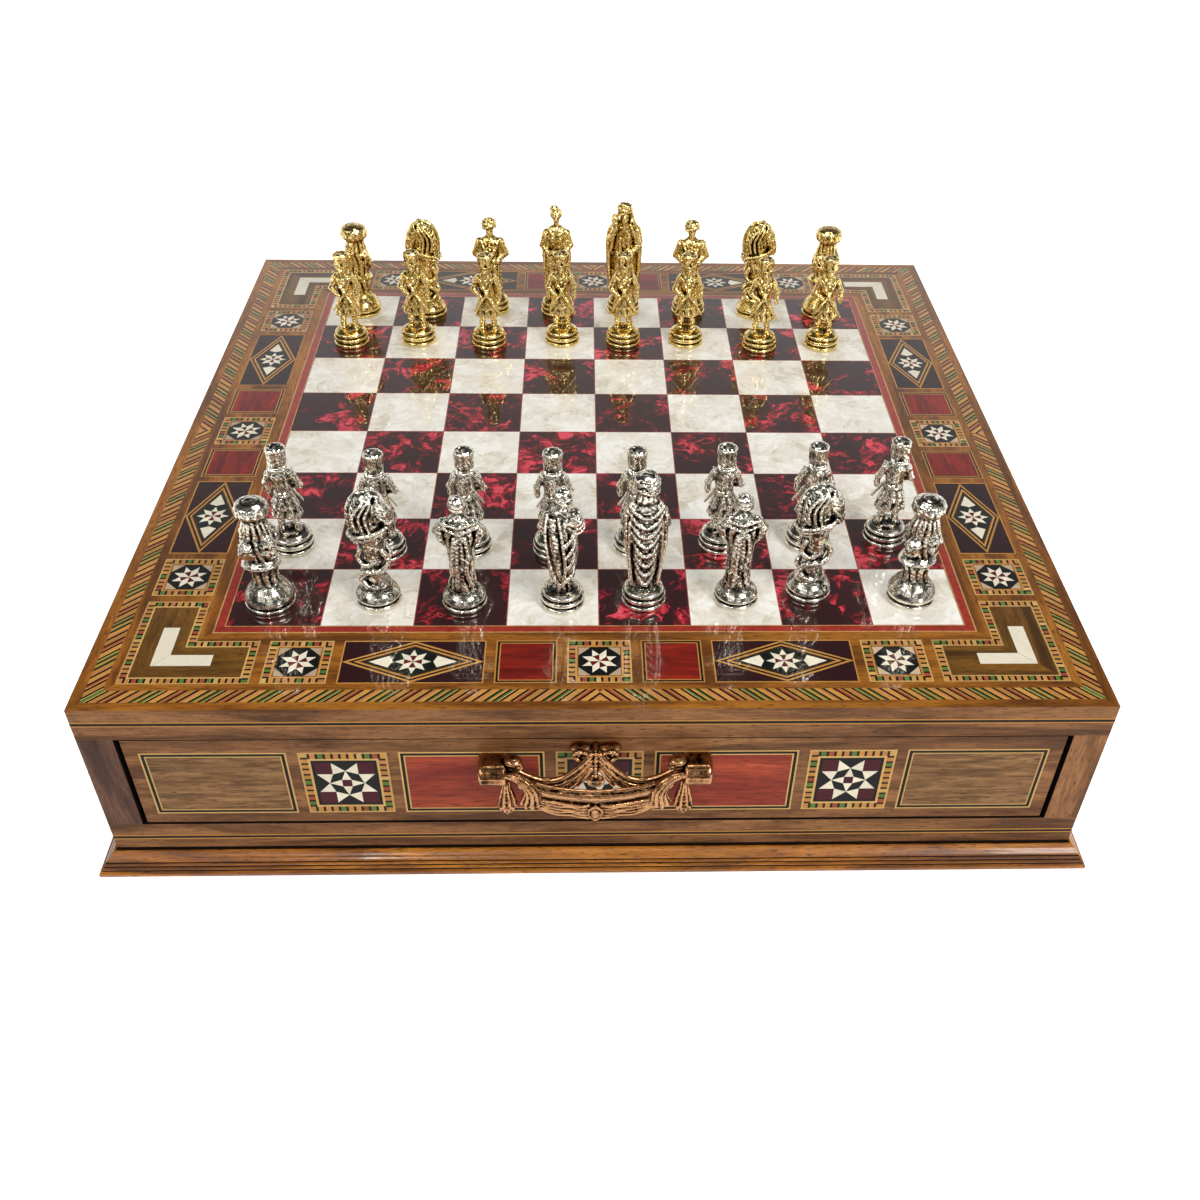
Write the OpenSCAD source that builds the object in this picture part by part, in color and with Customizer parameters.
// Chess box: a marquetry board on a low box with a drawer in the front and in the back face,
// and a full set of cast men. Millimetres, +Z up, the front faces -Y.
// The origin is on the floor, under the middle of the box.

/* [Box] */
// Side of one playing square
square = 39.5; // [38:0.5:43]
// Height of the box above its base moulding
box_h = 82; // [80:1:100]
// Thickness of the top border boards
top_t = 7.6; // [6:0.2:9]
// Thickness of the inlaid squares and tiles
tile_t = 1.2; // [0.8:0.1:1.6]
// Thickness of the side boards
side_t = 12; // [10:0.5:13]
// Thickness of the frames round the drawer openings
frame_t = 14; // [12:0.5:16]
// Width of the upright stiles beside a drawer
stile_w = 14.5; // [13.5:0.5:18]
// Height of the rail over a drawer, under the top boards
top_rail_h = 8.7; // [7:0.1:11]
// Height of the rail under a drawer
low_rail_h = 14.8; // [12:0.2:17]
// Thickness of the centre partition
partition_t = 10; // [6:1:14]
// Thickness of the bottom panel
panel_t = 6; // [4:0.5:7]

/* [Base moulding] */
// Height of the base moulding
base_h = 11; // [10:0.5:16]
// How far the moulding stands out from the box
base_out = 8; // [6:0.5:12]
// How far the moulding reaches in under the box
base_in = 14.5; // [13:0.5:20]
// How far the bottom panel laps into the moulding
panel_lap = 5; // [2:0.5:7]

/* [Marquetry border] */
// Plain edge outside the rope banding
edge_w = 4.6; // [4:0.2:7]
// Width of the rope banding
rope_w = 7; // [5:0.5:9]
// Plain strip between the rope banding and the tiles
gap_w = 3.8; // [2:0.2:5]
// Width of the row of tiles
tile_w = 26.6; // [24:0.2:29]
// Plain strip inside the row of tiles
inner_w = 5.2; // [3:0.2:7]
// Width of the red band round the field
band_w = 3.6; // [2:0.2:5]
// Width of a maple line beside the band
line_w = 0.6; // [0.4:0.1:1]
// Plain bar between two tiles
bar_w = 4.2; // [3:0.1:6]
// Length of a corner panel's arm
corner_arm = 53; // [46:0.5:58]
// Length of a red tile
red_len = 25.6; // [20:0.2:30]
// Distance of the bone corner from the corner panel's edge
bone_in = 11; // [8:0.5:13]
// Length of a bone arm
bone_len = 24.4; // [18:0.2:28]
// Width of a bone arm
bone_w = 6.8; // [5:0.2:9]
// Joint between neighbouring squares and mitred strips
seam = 0.15; // [0.1:0.05:0.3]

/* [Body stringing] */
// Height of an inlaid line round the body
string_h = 1.2; // [0.8:0.1:2]
// Depth of an inlaid line
string_d = 1; // [0.6:0.1:1.5]
// Height of the lower line above the base moulding
string_up = 5.8; // [4:0.2:8]

/* [Drawers] */
// Gap beside a drawer face
face_side_gap = 2.2; // [1:0.1:3]
// Gap over and under a drawer face
face_gap = 0.9; // [0.6:0.1:1.5]
// Thickness of a drawer face
face_t = 14; // [12:0.5:18]
// How far a drawer face stands back from the frame
recess = 0.5; // [0:0.1:2]
// How far a drawer side stands in from the end of the face
side_inset = 2.8; // [2:0.2:6]
// Thickness of a drawer side
drawer_t = 8; // [6:0.5:10]
// How far a drawer side stops below the top of the face
side_drop = 5.8; // [5:0.1:12]
// Thickness of a drawer back
drawer_back_t = 8; // [6:0.5:10]
// Height of a drawer bottom above the lower edge of the sides
bottom_up = 2.3; // [2:0.1:5]
// Thickness of a drawer bottom
bottom_t = 3; // [2:0.5:4]
// Depth of the groove that holds a drawer bottom
groove_d = 3; // [2:0.5:4]
// Thickness of the velvet lining
lining_t = 1; // [0.6:0.1:2]
// Thickness of a divider
divider_t = 4; // [3:0.5:6]
// Height of a divider above the lining
divider_h = 28; // [20:1:32]
// Dividers that cross a drawer
cross_count = 5; // [3:1:7]
// Running clearance between a drawer and what guides it
run_gap = 0.3; // [0.2:0.05:0.6]
// Clearance between a drawer side and the kicker strip over it
kick_gap = 0.5; // [0.4:0.1:1]
// Width of the runner block under a drawer side
runner_w = 10.5; // [8.5:0.5:14]
// Height of the guide strip beside a drawer side
guide_h = 8; // [5:0.5:12]
// Slack where two dividers cross
lap_gap = 0.1; // [0.05:0.05:0.3]

/* [Drawer marquetry] */
// Height of the row of face panels
inlay_h = 36.4; // [32:0.2:40]
// How far the row sits above the middle of the face
inlay_lift = -1; // [-2:0.1:2]
// Length of a walnut end panel
end_len = 59.4; // [50:0.2:62]
// Length of a star tile in the face
star_len = 36.4; // [32:0.2:40]
// Length of a red panel
pad_len = 59.8; // [50:0.2:62]
// Plain bar between two face panels
face_bar = 4.6; // [3:0.1:5]

/* [Handles] */
// Distance between the two posts
post_span = 84; // [76:1:92]
// How far the handle sits to the right of the middle of the face
handle_shift = -1.8; // [-3:0.2:3]
// Depth of the posts' middle below the top edge of the face
post_down = 13.4; // [12:0.2:15]
// Width of a post
post_w = 12; // [10:0.5:14]
// Height of a post
post_h = 9; // [8:0.5:10]
// How far a post stands out from the face
post_out = 11.5; // [10:0.5:13]
// Thickness of the grip
grip_t = 5; // [4:0.2:6]
// How far the grip's middle stands out from the face
grip_out = 15; // [13:0.5:18]
// Span of the grip between its leaves
grip_span = 60; // [50:1:66]
// How far the ends of the grip lie below the posts
grip_drop = 3.4; // [3:0.2:5]
// Sag of the grip at its middle
grip_sag = 2.6; // [2:0.2:4]
// Thickness of a leaf that curls from a post to the grip
leaf_t = 5.5; // [5:0.5:7]
// Depth of the middle of a leaf's curl below the posts' middle
leaf_drop = 9; // [8:0.5:10]
// Radius of a volute at the head of the palmette
volute_r = 4.4; // [4:0.1:4.8]
// Distance between the volutes' middles
volute_span = 13; // [11:0.5:16]
// Thickness of a volute
volute_t = 6; // [5.5:0.5:8]
// How far the volutes' middles lie above the posts' middle
volute_rise = 8; // [7:0.2:8.4]
// Width of the fan's lower edge
fan_w = 9; // [8:0.5:11]
// How far the fan reaches below the posts' middle
fan_h = 8.5; // [7:0.5:9.5]
// Thickness of a swag between a post and the palmette
swag_t = 4.4; // [3:0.2:5]
// How far the ends of a swag lie above the posts' middle
swag_rise = 5; // [4:0.2:5.6]
// Dip of a swag
swag_dip = 6.3; // [5:0.1:7]
// How far a swag stands out from the face
swag_out = 7; // [6:0.5:8]
// Radius of the scroll at the head of a post
knob_r = 3.2; // [2.8:0.2:3.6]
// Width of a tassel's lower end
tassel_w = 7; // [6:0.2:8]
// Length of a tassel
tassel_h = 21.5; // [18:0.5:24]
// Span of the scroll plate below the grip
scroll_span = 60; // [56:1:64]
// How far the scroll plate reaches below the posts' middle
scroll_down = 33; // [30:0.5:34]
// Height of the scroll plate at its middle
scroll_h = 13; // [10:0.5:14]
// Radius of a boss between the scroll plate and a leaf
boss_r = 4; // [3:0.5:5]
// Thickness of the cast plates of the handle
plate_t = 3; // [2:0.5:4]
// Radius of a handle screw
screw_r = 2; // [1.5:0.1:2.5]
// Radius of a screw head
head_r = 3.8; // [3:0.2:4.5]
// Thickness of a screw head
head_t = 2.4; // [2:0.2:3]
// Length of a screw inside its post
screw_bite = 6; // [5:0.5:7]
// Clearance round a screw
screw_gap = 0.2; // [0.1:0.05:0.4]

/* [Men] */
// Width of a king over the arms
king_w = 15; // [12:0.5:18]
// Width of a queen over the arms
queen_w = 14; // [12:0.5:17]
// Width of a bishop over the arms
bishop_w = 14; // [12:0.5:17]
// Thickness of an arm
arm_t = 3.6; // [3:0.2:5]
// Thickness of a pawn's leg
leg_t = 3.4; // [2.6:0.2:4]
// Width of a pawn's coat at the hem
coat_w = 12.4; // [10:0.2:15]
// Width of a pawn's tall hat
hat_w = 8; // [6:0.2:9]
// Width of a rook's cap
cap_w = 15.6; // [13:0.2:18]
// Thickness of a horse through its neck
horse_t = 8; // [6:0.5:10]
// Radius of a man's foot
foot_r = 10; // [8:0.5:12]
// Radius of a rook's foot
rook_foot_r = 10.8; // [9:0.5:13]
// Height of a man's foot
foot_h = 9; // [7:0.5:11]
// Height of the gold king
gold_king_h = 66; // [60:1:72]
// Height of the gold queen
gold_queen_h = 64; // [58:1:70]
// Height of the silver king
silver_king_h = 65; // [60:1:70]
// Height of the silver queen
silver_queen_h = 63; // [58:1:68]
// Height of a bishop
bishop_h = 56; // [50:1:60]
// Height of a knight
knight_h = 56; // [52:1:62]
// Height of a rook
rook_h = 53; // [48:1:58]
// Height of a gold pawn
gold_pawn_h = 53; // [48:1:58]
// Height of a silver pawn
silver_pawn_h = 52; // [48:1:58]

/* [Hidden] */
$fn = 48;

ranks = 8;
field = ranks * square;
frame_w = edge_w + rope_w + gap_w + tile_w + inner_w; // width of a border board
half = field / 2 + band_w + 2 * line_w + frame_w; // half the width of the box
tile_in = edge_w + rope_w + gap_w; // from the edge to the row of tiles
core_half = half - frame_w;

top_z = base_h + box_h;
board_z = top_z - top_t;
inlay_z = top_z - tile_t;
open_x = half - stile_w;
open_low = base_h + low_rail_h;
open_high = board_z - top_rail_h;
inside_x = half - side_t;
inside_y = half - frame_t;

face_x = open_x - face_side_gap;
face_low = open_low + face_gap;
face_high = open_high - face_gap;
face_mid = (face_low + face_high) / 2;
face_y = half - recess;
shell_y = face_y - face_t; // where the drawer's sides meet its face
stop_y = partition_t / 2 + run_gap;
rear_y = stop_y + drawer_back_t;
run_long = shell_y - run_gap - partition_t / 2; // length of a runner
shell_x = face_x - side_inset;
room_x = shell_x - drawer_t;
bottom_z = face_low + bottom_up;
lining_z = bottom_z + bottom_t;
floor_z = lining_z + lining_t;
drawer_side_h = face_high - face_low - side_drop;
kick_z = face_low + drawer_side_h + kick_gap;
room_mid = (shell_y + rear_y) / 2;
cross_step = (2 * room_x + divider_t) / (cross_count + 1);

diamond_len = half - tile_in - corner_arm - 4 * bar_w - 1.5 * tile_w - red_len;
star_at = half - tile_in - corner_arm - bar_w - tile_w / 2; // middle of a side's outer star
diamond_at = star_at - tile_w / 2 - bar_w - diamond_len / 2;
red_at = tile_w / 2 + bar_w + red_len / 2;
tile_y = half - tile_in - tile_w / 2;

post_z = face_high - post_down;
post_xs = [handle_shift - post_span / 2, handle_shift + post_span / 2];
scroll_reach = min(scroll_down, post_z - face_low - plate_t);
leaf_r = leaf_drop - leaf_t / 5;
leaf_curl = 20;
face_star_at = star_len + face_bar * 2 + pad_len;
face_pad_at = (star_len + pad_len) / 2 + face_bar;
face_end_at = face_star_at + (star_len + end_len) / 2 + face_bar;

// how far each man stands off the middle of its square, [x, y] from the left file to the right
silver_shift = [[-4, -2.6], [3, -1.4], [1, -3.3], [4, -3.5], [0, -1.8], [1.2, -1], [-5.6, 4.4], [0, 0]];
silver_pawn_shift = [[-1.2, -1.5], [1.8, -6], [1, -3.5], [0, -4.5], [-2.6, -3], [-2.5, 0],
    [-1.4, 1.3], [-3.6, 5.5]];
gold_shift = [[0, 0], [0.5, -1], [-1.3, 3.5], [-2, 1.5], [-2, 3.8], [-2, 3], [-2.6, 1.5], [-0.8, 2]];
gold_pawn_shift = [[-1.5, 0], [-2.9, 3], [-1.4, 0], [1.2, 3.2], [-2.9, 2.5], [-6, 2.7],
    [-2.8, -2.5], [-5.7, 0]];

// ---- Shared shapes ----

// A block with its middle at [x, y] and its lower face at z
module slab(x, y, z, w, d, h) {
    translate([x - w / 2, y - d / 2, z]) cube([w, d, h]);
}

// One mitred strip along the front, its outer edge at out from the middle
module mitred(out, w, h, joint = 0) {
    linear_extrude(h) polygon([[-out + joint, -out], [out - joint, -out],
        [out - w - joint, -out + w], [-out + w + joint, -out + w]]);
}

module mitred_ring(out, w, z, h) {
    for (a = [0:90:270]) rotate(a) translate([0, 0, z]) mitred(out, w, h, seam / 2);
}

// A square ring with its outer edge at out from the middle
module ring(out, w, z, h) {
    difference() {
        slab(0, 0, z, 2 * out, 2 * out, h);
        slab(0, 0, z - 1, 2 * (out - w), 2 * (out - w), h + 2);
    }
}

module string_rings() {
    for (z = [base_h + string_up, board_z - string_h]) ring(half, string_d, z, string_h);
}

// ---- Marquetry top ----

// Both arms of a front left corner panel, as seen from above
module corner_plan(inset = 0) {
    at = -half + tile_in + inset;
    for (size = [[corner_arm, tile_w], [tile_w, corner_arm]])
        translate([at, at]) square([size.x - 2 * inset, size.y - 2 * inset]);
}

module bone_arm_plan() {
    at = -half + tile_in + bone_in;
    polygon([[at + seam, at], [at + bone_len, at], [at + bone_len, at + bone_w],
        [at + bone_w + seam, at + bone_w]]);
}

module bone_plan() {
    at = -half + tile_in + bone_in;
    for (size = [[bone_len, bone_w], [bone_w, bone_len]]) translate([at, at]) square(size);
}

module side_tiles() {
    slab(0, -tile_y, inlay_z, tile_w, tile_w, tile_t);
    for (s = [-1, 1]) slab(s * star_at, -tile_y, inlay_z, tile_w, tile_w, tile_t);
}

module side_diamonds() {
    for (s = [-1, 1]) slab(s * diamond_at, -tile_y, inlay_z, diamond_len, tile_w, tile_t);
}

module side_reds() {
    for (s = [-1, 1]) slab(s * red_at, -tile_y, inlay_z, red_len, tile_w, tile_t);
}

module pockets() {
    rope_in = half - edge_w;
    slab(0, -rope_in + rope_w / 2, inlay_z, 2 * rope_in, rope_w, top_t);
    for (s = [-1, 0, 1]) slab(s * star_at, -tile_y, inlay_z, tile_w, tile_w, top_t);
    for (s = [-1, 1]) {
        slab(s * diamond_at, -tile_y, inlay_z, diamond_len, tile_w, top_t);
        slab(s * red_at, -tile_y, inlay_z, red_len, tile_w, top_t);
        slab(s * (half - tile_in - corner_arm / 2), -tile_y, inlay_z, corner_arm, tile_w, top_t);
    }
}

module border_board(turn) {
    color("saddlebrown") rotate(turn) difference() {
        translate([0, 0, board_z]) mitred(half, frame_w, top_t);
        pockets();
    }
}

module board_core() {
    color("burlywood")
        slab(0, 0, board_z, 2 * core_half, 2 * core_half, top_t - tile_t);
}

// Squares of one colour: parity 0 holds the front left square
module squares(parity, paint) {
    color(paint) for (i = [0:ranks - 1], j = [0:ranks - 1]) if ((i + j) % 2 == parity)
        slab((i - 3.5) * square, (j - 3.5) * square, inlay_z, square - seam, square - seam, tile_t);
}

module field_band() {
    color("firebrick") mitred_ring(core_half - line_w, band_w, inlay_z, tile_t);
}

module maple_lines() {
    color("wheat") {
        mitred_ring(core_half, line_w, inlay_z, tile_t);
        mitred_ring(core_half - line_w - band_w, line_w - seam, inlay_z, tile_t);
    }
}

module rope_banding() {
    color("darkkhaki") mitred_ring(half - edge_w, rope_w, inlay_z, tile_t);
}

module corner_panels() {
    color("sienna") for (a = [0:90:270]) rotate(a) translate([0, 0, inlay_z])
        linear_extrude(tile_t) difference() {
            corner_plan();
            bone_plan();
        }
}

module bone_corners() {
    color("ivory") for (a = [0:90:270]) rotate(a) translate([0, 0, inlay_z])
        linear_extrude(tile_t) {
            bone_arm_plan();
            mirror([1, -1]) bone_arm_plan();
        }
}

module star_tiles() {
    color("dimgray") for (a = [0:90:270]) rotate(a) side_tiles();
}

module diamond_panels() {
    color("#3a1a26") for (a = [0:90:270]) rotate(a) side_diamonds();
}

module red_tiles() {
    color("darkred") for (a = [0:90:270]) rotate(a) side_reds();
}

// ---- Box ----

module side_board(s) {
    color("peru") difference() {
        slab(s * (half - side_t / 2), 0, base_h, side_t, 2 * inside_y, board_z - base_h);
        string_rings();
    }
}

module frame_rail(low, high) {
    color("peru") difference() {
        slab(0, -half + frame_t / 2, low, 2 * half, frame_t, high - low);
        string_rings();
    }
}

module frame_stiles() {
    color("peru") for (s = [-1, 1])
        slab(s * (half - stile_w / 2), -half + frame_t / 2, open_low,
            stile_w, frame_t, open_high - open_low);
}

module bottom_panel() {
    reach = 2 * (half - base_in + panel_lap);
    color("burlywood") slab(0, 0, base_h - panel_t, reach, reach, panel_t);
}

module centre_partition() {
    color("burlywood") slab(0, 0, base_h, 2 * inside_x, partition_t, board_z - base_h);
}

module drawer_runners() {
    low = face_low - run_gap - base_h;
    inner_x = shell_x - runner_w;
    guide_x = shell_x + run_gap;
    color("burlywood") for (a = [0, 180], s = [-1, 1]) rotate(a)
        translate([0, -partition_t / 2, base_h]) rotate([90, 0, 0])
            linear_extrude(run_long) polygon([[s * inner_x, 0],
                [s * inside_x, 0], [s * inside_x, low + guide_h], [s * guide_x, low + guide_h],
                [s * guide_x, low], [s * inner_x, low]]);
}

module kicker_strips() {
    inner_x = shell_x - runner_w;
    color("burlywood") for (a = [0, 180], s = [-1, 1]) rotate(a)
        slab(s * (inner_x + inside_x) / 2, -(partition_t + run_long) / 2, kick_z,
            inside_x - inner_x, run_long, board_z - kick_z);
}

// Points of an arc from angle a to angle b
function arc(at, r, a, b, n = 6) =
    [for (i = [0:n]) at + r * [cos(a + (b - a) * i / n), sin(a + (b - a) * i / n)]];

// Section of the base moulding: x outwards from the box, y up
function moulding() =
    let (
        bead = base_h * 0.16,
        cove = base_out * 0.42,
        step = base_out * 0.1
    ) concat(
        [[-base_in, 0], [base_out, 0]],
        arc([base_out - bead, bead], bead, 0, 90),
        [[base_out - bead - step, 2 * bead]],
        arc([base_out - bead - step - bead, 2 * bead], bead, 0, 90),
        [[cove, 3 * bead]],
        arc([cove, 3 * bead + cove], cove, 270, 180),
        [[0, base_h], [-base_in + panel_lap, base_h], [-base_in + panel_lap, base_h - panel_t],
            [-base_in, base_h - panel_t]]);

module base_moulding() {
    outer = half + base_out;
    color("sienna") for (a = [0:90:270]) rotate(a) intersection() {
        translate([-outer, -half, 0]) rotate([90, 0, 90]) mirror([1, 0])
            linear_extrude(2 * outer) polygon(moulding());
        translate([0, 0, -1]) mitred(outer, base_out + base_in, base_h + 2, seam / 2);
    }
}

module body_stringing() {
    color("black") string_rings();
}

// ---- Drawer, drawn as the front one ----

module turned() {
    rotate(180) children();
}

module drawer_face() {
    color("saddlebrown") difference() {
        slab(0, -face_y + face_t / 2, face_low, 2 * face_x, face_t, face_high - face_low);
        face_panels(1);
        bottom_slot();
        for (x = post_xs) translate([x, -shell_y + 1, post_z]) rotate([90, 0, 0])
            cylinder(r = screw_r + screw_gap, h = face_t + 2);
    }
}

// The drawer bottom's own space, let into the face, the sides and the back
module bottom_slot() {
    front = -shell_y - groove_d;
    rear = -rear_y + groove_d;
    slab(0, (front + rear) / 2, bottom_z, 2 * (room_x + groove_d), rear - front, bottom_t);
}

module drawer_sides() {
    color("wheat") difference() {
        for (s = [-1, 1]) slab(s * (room_x + drawer_t / 2), -(shell_y + stop_y) / 2, face_low,
            drawer_t, shell_y - stop_y, drawer_side_h);
        bottom_slot();
    }
}

module drawer_back() {
    color("wheat") difference() {
        slab(0, -(rear_y + stop_y) / 2, face_low, 2 * room_x, drawer_back_t, drawer_side_h);
        bottom_slot();
    }
}

module drawer_bottom() {
    color("burlywood") bottom_slot();
}

module drawer_lining() {
    color("darkred") slab(0, -room_mid, lining_z, 2 * room_x, shell_y - rear_y, lining_t);
}

module drawer_dividers() {
    deep = shell_y - rear_y;
    slot = divider_t + 2 * lap_gap;
    color("wheat") {
        difference() {
            slab(0, -room_mid, floor_z, 2 * room_x, divider_t, divider_h);
            for (i = [1:cross_count])
                slab(-room_x - divider_t / 2 + i * cross_step, -room_mid,
                    floor_z + divider_h / 2 - lap_gap, slot, slot, divider_h);
        }
        for (i = [1:cross_count]) difference() {
            slab(-room_x - divider_t / 2 + i * cross_step, -room_mid, floor_z,
                divider_t, deep, divider_h);
            slab(-room_x - divider_t / 2 + i * cross_step, -room_mid, floor_z - 1,
                slot, slot, divider_h / 2 + lap_gap + 1);
        }
    }
}

// The panels let into the face; extra carries them past its surface
module face_panels(extra = 0) {
    lens = [end_len, star_len, pad_len, star_len, pad_len, star_len, end_len];
    spots = [-face_end_at, -face_star_at, -face_pad_at, 0, face_pad_at, face_star_at, face_end_at];
    for (i = [0:len(lens) - 1])
        slab(spots[i], -face_y + (tile_t - extra) / 2, face_mid + inlay_lift - inlay_h / 2,
            lens[i], tile_t + extra, inlay_h);
}

module drawer_inlays() {
    color("darkred") difference() {
        face_panels();
        for (x = post_xs) translate([x, -shell_y + 1, post_z]) rotate([90, 0, 0])
            cylinder(r = screw_r + screw_gap, h = face_t + 2);
    }
}

// A ring segment of round bar in the plane of the face, from angle a to angle b
module bent_bar(x, out, z, r, thick, a, b) {
    translate([x, -face_y - out, z]) rotate([90, 0, 0]) rotate(a)
        rotate_extrude(angle = b - a) translate([r, 0]) circle(d = thick, $fn = 24);
}

module post(s) {
    round_r = post_h / 2;
    translate([s * post_span / 2 - post_w / 2, -face_y, post_z]) rotate([90, 0, 90])
        linear_extrude(post_w) {
            translate([-(post_out - round_r) / 2, 0])
                square([post_out - round_r, post_h], center = true);
            translate([-(post_out - round_r), 0]) circle(r = round_r);
        }
}

// Radius of an arc with this chord and rise
function arc_r(chord, rise) = (chord * chord / 4 + rise * rise) / (2 * rise);

module grip() {
    r = arc_r(grip_span, grip_sag);
    spread = asin(grip_span / 2 / r);
    bent_bar(0, grip_out, post_z - grip_drop - grip_sag + r, r, grip_t,
        270 - spread, 270 + spread);
}

// A leaf that curls from a post down to the end of the grip
module leaf(s) {
    out = grip_out - leaf_t * 0.25;
    bent_bar(s * (post_span - post_w) / 2, out, post_z - leaf_drop, leaf_r, leaf_t,
        s > 0 ? 65 : -leaf_curl, s > 0 ? 180 + leaf_curl : 115);
    translate([s * grip_span / 2, -face_y - grip_out, post_z - grip_drop])
        sphere(d = grip_t * 1.5, $fn = 24);
}

// A swag of two strands between a post and the palmette
module swag(s) {
    inner = fan_w / 3;
    outer = post_span / 2 - post_w / 4;
    r = arc_r(outer - inner, swag_dip);
    spread = asin((outer - inner) / 2 / r);
    for (k = [0, 1])
        bent_bar(s * (inner + outer) / 2, swag_out,
            post_z + swag_rise - swag_dip - k * swag_t * 0.9 + r, r,
            swag_t, 270 - spread, 270 + spread);
}

// The scroll that closes a swag beside its post
module knob(s) {
    translate([s * (post_span / 2 - post_w / 2 - knob_r * 0.7), -face_y - plate_t,
        post_z + swag_rise]) rotate([90, 0, 0]) cylinder(r = knob_r, h = swag_out - plate_t / 2);
}

module tassel(s) {
    translate([s * (post_span / 2 - post_w / 3), -face_y - post_out + tassel_w / 2,
        post_z - tassel_h]) cylinder(d1 = tassel_w, d2 = tassel_w / 2, h = tassel_h);
}

module palmette() {
    for (s = [-1, 1]) translate([s * volute_span / 2, -face_y, post_z + volute_rise])
        rotate([90, 0, 0]) cylinder(r = volute_r, h = volute_t);
    translate([0, -face_y - plate_t, post_z]) rotate([90, 0, 0]) linear_extrude(plate_t * 1.5)
        polygon([[-fan_w / 2, -fan_h], [fan_w / 2, -fan_h], [fan_w / 3, volute_rise],
            [-fan_w / 3, volute_rise]]);
}

// The scroll plate that backs the handle below the grip
module scroll_plate() {
    boss_z = post_z - leaf_drop - leaf_r * sin(leaf_curl) - boss_r * 0.9;
    rise = boss_z - boss_r * 0.8 - post_z + scroll_reach;
    r = arc_r(scroll_span, rise);
    spread = asin(scroll_span / 2 / r);
    translate([0, -face_y, post_z]) rotate([90, 0, 0]) linear_extrude(plate_t)
        polygon(concat(arc([0, r - scroll_reach], r, 270 - spread, 270 + spread, 14),
            [[0, scroll_h - scroll_reach]]));
    for (s = [-1, 1]) translate([s * scroll_span / 2, -face_y, boss_z]) rotate([90, 0, 0])
        cylinder(r = boss_r, h = grip_out - plate_t);
}

module drawer_handle() {
    color("#8a4a2c") difference() {
        translate([handle_shift, 0]) {
            grip();
            palmette();
            scroll_plate();
            for (s = [-1, 1]) {
                post(s);
                leaf(s);
                swag(s);
                knob(s);
                tassel(s);
            }
        }
        for (x = post_xs) translate([x, -face_y, post_z]) rotate([90, 0, 0])
            cylinder(r = screw_r + screw_gap / 4, h = screw_bite + 1);
    }
}

module drawer_screws() {
    color("silver") for (x = post_xs) translate([x, -shell_y, post_z])
        rotate([90, 0, 0]) {
            translate([0, 0, -head_t]) cylinder(r = head_r, h = head_t);
            cylinder(r = screw_r, h = face_t + screw_bite);
        }
}

// ---- Men: each is drawn on the floor at the origin ----

// Stands a man on file i and rank j, moved off the middle of its square
module stand(i, j, shift = [0, 0]) {
    translate([(i - 3.5) * square + shift.x, (j - 3.5) * square + shift.y, top_z]) children();
}

// Round stepped foot
module foot(r) {
    rotate_extrude() polygon(concat([[0, 0], [r, 0], [r, foot_h * 0.22], [r * 0.93, foot_h * 0.3]],
        arc([r * 0.86, foot_h * 0.5], foot_h * 0.15, -80, 80, 4),
        [[r * 0.84, foot_h * 0.72], [r * 0.7, foot_h * 0.9], [0, foot_h]]));
}

// A robe from the foot to the neck of a figure of height h
module robe(h, hem, waist, chest) {
    rotate_extrude() polygon([[0, foot_h * 0.8], [hem, foot_h * 0.8], [hem * 0.95, foot_h + 3],
        [waist, h * 0.52], [chest, h * 0.7], [chest * 0.7, h * 0.79], [2.2, h * 0.82],
        [2, h * 0.91], [0, h * 0.91]]);
}

// Rounded bar across the figure, as wide as its shoulders
module shoulders(h, wide, thick) {
    limb([-wide / 2, 0, h * 0.74], [wide / 2, 0, h * 0.74], thick);
    for (s = [-1, 1]) translate([s * wide / 2, 0, h * 0.74]) sphere(d = thick, $fn = 24);
}

// A round bar from one point to another
module limb(a, b, thick) {
    d = b - a;
    translate(a) rotate([0, acos(d.z / norm(d)), atan2(d.y, d.x)])
        cylinder(d = thick, h = norm(d), $fn = 24);
}

// An arm from the shoulder over a bent elbow to the hand
module bent_arm(shoulder, elbow, hand) {
    limb(shoulder, elbow, arm_t);
    translate(elbow) sphere(d = arm_t * 1.15, $fn = 24);
    limb(elbow, hand, arm_t * 0.9);
}

module robed_man(h, wide, front) {
    foot(foot_r);
    robe(h, wide * 0.45, wide * 0.32, wide * 0.38);
    shoulders(h, wide * 0.62, wide * 0.34);
    translate([0, 0, h * 0.94]) sphere(r = h * 0.06, $fn = 32);
    for (s = [-1, 1]) bent_arm([s * wide * 0.3, 0, h * 0.735],
        [s * (wide - arm_t) / 2, front * wide * 0.1, h * 0.58],
        [s * wide * 0.12, front * wide * 0.36, h * 0.62]);
}

module cape(h, wide) {
    rotate_extrude() polygon([[0, foot_h * 0.8], [wide * 0.4, foot_h * 0.8], [wide * 0.46, h * 0.4],
        [wide * 0.47, h * 0.6], [wide * 0.4, h * 0.74], [0, h * 0.8]]);
}

module king(h, front) {
    robed_man(h, king_w, front);
    cape(h, king_w);
    translate([0, 0, h * 0.9]) cylinder(d1 = king_w * 0.6, d2 = king_w * 0.5, h = h * 0.08);
}

module queen(h, front) {
    robed_man(h, queen_w, front);
    cape(h, queen_w * 0.84);
}

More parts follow.
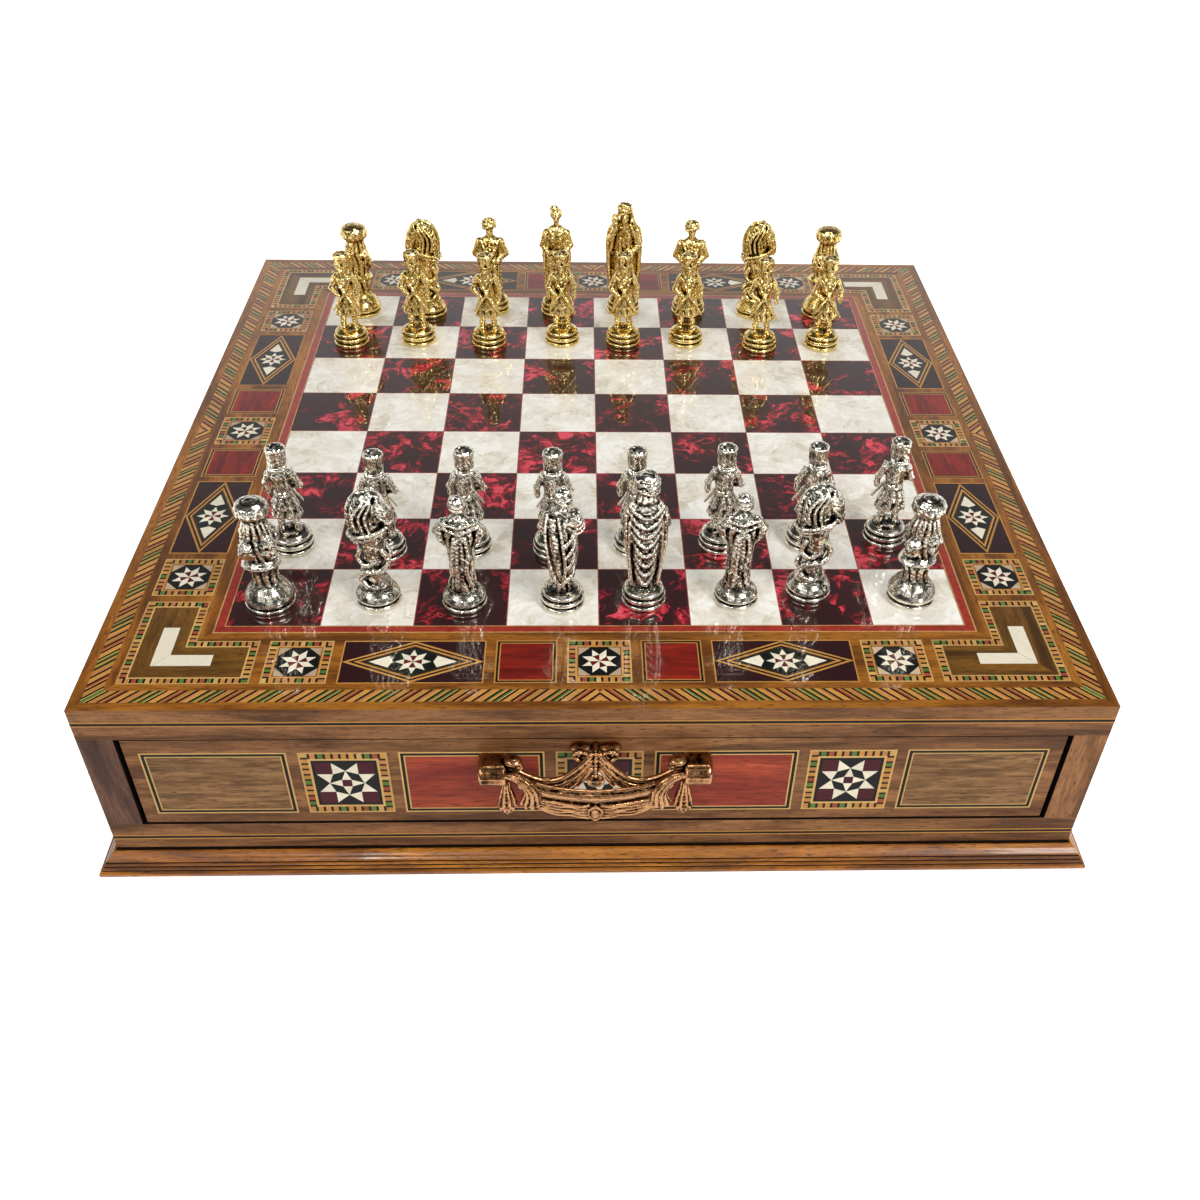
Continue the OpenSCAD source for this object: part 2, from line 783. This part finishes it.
module pawn(h, front) {
    hip = h * 0.4;
    foot(foot_r);
    for (s = [-1, 1])
        limb([s * leg_t * 0.9, 0, foot_h * 0.8], [s * leg_t * 0.75, 0, hip], leg_t);
    translate([0, 0, h * 0.33]) cylinder(d1 = coat_w, d2 = coat_w * 0.58, h = h * 0.23);
    translate([0, 0, h * 0.54]) cylinder(d1 = coat_w * 0.6, d2 = coat_w * 0.8, h = h * 0.17);
    translate([0, 0, h * 0.7]) cylinder(d1 = coat_w * 0.8, d2 = coat_w * 0.3, h = h * 0.1);
    for (s = [-1, 1]) bent_arm([s * coat_w * 0.4, 0, h * 0.7],
        [s * coat_w * 0.53, front * 0.5, h * 0.57], [s * coat_w * 0.35, front * 3, h * 0.47]);
    translate([0, 0, h * 0.76]) cylinder(d1 = hat_w * 0.84, d2 = hat_w, h = h * 0.24);
    limb([-front, front * 4.2, h * 0.54], [-front * coat_w * 0.62, front * 5.4, h * 0.38],
        leg_t * 0.65);
}

module rook() {
    foot(rook_foot_r);
    rotate_extrude() polygon([[0, foot_h * 0.8], [rook_foot_r * 0.62, foot_h * 0.8],
        [cap_w * 0.37, rook_h * 0.26], [cap_w * 0.36, rook_h * 0.34], [cap_w * 0.54, rook_h * 0.42],
        [cap_w * 0.5, rook_h * 0.64], [cap_w * 0.33, rook_h * 0.82], [cap_w * 0.32, rook_h * 0.84],
        [cap_w * 0.5, rook_h * 0.9], [cap_w * 0.48, rook_h * 0.97], [cap_w * 0.38, rook_h],
        [0, rook_h]]);
}

// The horse, its nose towards +X
module knight() {
    foot(foot_r);
    h = knight_h;
    translate([0, 0, foot_h * 0.7])
        cylinder(r1 = foot_r * 0.6, r2 = foot_r * 0.46, h = h * 0.28);
    translate([0, horse_t / 2, 0]) rotate([90, 0, 0]) linear_extrude(horse_t)
        polygon([[-6, h * 0.22], [5, h * 0.22], [6.5, h * 0.36], [3.5, h * 0.46], [7.5, h * 0.58],
            [10, h * 0.7], [8.5, h * 0.76], [6, h * 0.84], [4, h * 0.97], [2, h], [-2, h * 0.98],
            [-6, h * 0.88], [-8.5, h * 0.72], [-8, h * 0.55], [-6.5, h * 0.4]]);
}

module silver_pawns() {
    color("silver") for (i = [0:ranks - 1])
        stand(i, 1, silver_pawn_shift[i]) pawn(silver_pawn_h, 1);
}

module gold_pawns() {
    color("gold") for (i = [0:ranks - 1])
        stand(i, 6, gold_pawn_shift[i]) pawn(gold_pawn_h, -1);
}

board_core();
border_board(0);  // border_front
border_board(180);  // border_back
border_board(270);  // border_left
border_board(90);  // border_right
squares(1, "whitesmoke");  // white_squares
squares(0, "#7a1226");  // red_squares
field_band();
maple_lines();
rope_banding();
corner_panels();
bone_corners();
star_tiles();
diamond_panels();
red_tiles();
side_board(-1);  // side_left
side_board(1);  // side_right
frame_rail(open_high, board_z);  // front_top_rail
frame_rail(base_h, open_low);  // front_bottom_rail
frame_stiles();  // front_stiles
turned() frame_rail(open_high, board_z);  // back_top_rail
turned() frame_rail(base_h, open_low);  // back_bottom_rail
turned() frame_stiles();  // back_stiles
bottom_panel();
centre_partition();
drawer_runners();
kicker_strips();
base_moulding();
body_stringing();
drawer_face();  // front_drawer_face
drawer_sides();  // front_drawer_sides
drawer_back();  // front_drawer_back
drawer_bottom();  // front_drawer_bottom
drawer_lining();  // front_drawer_lining
drawer_dividers();  // front_drawer_dividers
drawer_inlays();  // front_drawer_inlays
drawer_handle();  // front_drawer_handle
drawer_screws();  // front_drawer_screws
turned() drawer_face();  // back_drawer_face
turned() drawer_sides();  // back_drawer_sides
turned() drawer_back();  // back_drawer_back
turned() drawer_bottom();  // back_drawer_bottom
turned() drawer_lining();  // back_drawer_lining
turned() drawer_dividers();  // back_drawer_dividers
turned() drawer_inlays();  // back_drawer_inlays
turned() drawer_handle();  // back_drawer_handle
turned() drawer_screws();  // back_drawer_screws
color("silver") stand(4, 0, silver_shift[4]) king(silver_king_h, 1);  // silver_king
color("silver") stand(3, 0, silver_shift[3]) queen(silver_queen_h, 1);  // silver_queen
color("silver") for (i = [2, 5]) stand(i, 0, silver_shift[i]) robed_man(bishop_h, bishop_w, 1);  // silver_bishops
color("silver") for (i = [1, 6]) stand(i, 0, silver_shift[i]) knight();  // silver_knights
color("silver") for (i = [0, 7]) stand(i, 0, silver_shift[i]) rook();  // silver_rooks
silver_pawns();
color("gold") stand(4, 7, gold_shift[4]) king(gold_king_h, -1);  // gold_king
color("gold") stand(3, 7, gold_shift[3]) queen(gold_queen_h, -1);  // gold_queen
color("gold") for (i = [2, 5]) stand(i, 7, gold_shift[i]) robed_man(bishop_h, bishop_w, -1);  // gold_bishops
color("gold") for (i = [1, 6]) stand(i, 7, gold_shift[i]) mirror([i - 3.5 > 0 ? 0 : 1, 0]) knight();  // gold_knights
color("gold") for (i = [0, 7]) stand(i, 7, gold_shift[i]) rook();  // gold_rooks
gold_pawns();
